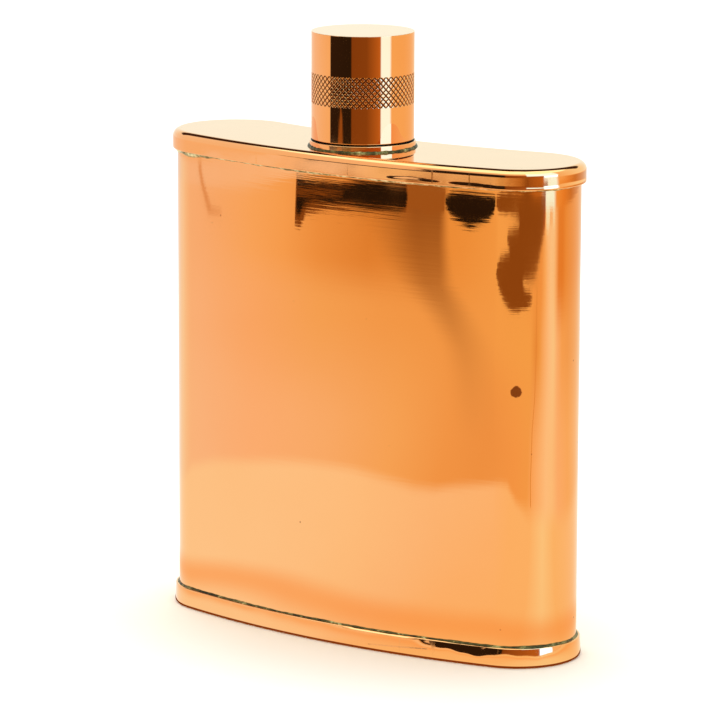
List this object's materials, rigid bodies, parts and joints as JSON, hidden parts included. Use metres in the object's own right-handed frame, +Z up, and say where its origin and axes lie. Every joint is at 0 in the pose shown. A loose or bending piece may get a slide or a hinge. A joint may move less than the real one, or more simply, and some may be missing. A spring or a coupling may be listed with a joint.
{
  "type": "hip flask",
  "caption": "Kidney-shaped copper hip flask with a soldered lid and base, and a knurled screw cap on a threaded neck.",
  "frame": {"origin": "on the surface the flask stands on, at the middle of its outline", "axes": "+Z up through the neck, the bulging front faces -Y, the hollow back faces +Y, the width runs along X"},
  "size_m": [0.1132, 0.0353, 0.1432],
  "materials": {
    "body_copper": "polished copper sheet with fine level brush lines, smudges and small dark spots",
    "plate_copper": "polished copper sheet, softly dented, with light scratches",
    "cap_copper": "copper turned bright, with a band of diamond knurling",
    "solder": "dull grey-green soft solder, uneven",
    "thread_brass": "machined brass",
    "seal": "smooth food-safe sealing disc"
  },
  "bodies": {
    "flask": {"body_wall": "body_copper", "seam_solder": "solder", "bottom_plate": "plate_copper", "bottom_solder": "solder", "top_plate": "plate_copper", "top_solder": "solder", "neck": "thread_brass", "neck_solder": "solder", "neck_collar": "plate_copper", "collar_solder": "solder"},
    "seal": {"cap_gasket": "seal"},
    "cap": {"cap_shell": "cap_copper", "cap_thread_insert": "thread_brass"}
  },
  "joints": [
    {"name": "cap_rise", "type": "slide", "parent": "flask", "child": "seal", "axis": [0, 0, 1], "range_m": [0, 0.0151]},
    {"name": "cap_turn", "type": "hinge", "parent": "seal", "child": "cap", "pos_m": [-0.0004, -0.00195, 0.13], "axis": [0, 0, 1], "range_deg": [0, 2160]}
  ],
  "couplings": [
    {"joint": "cap_rise", "follows": "cap_turn", "m_per_rad": 0.00039789}
  ]
}
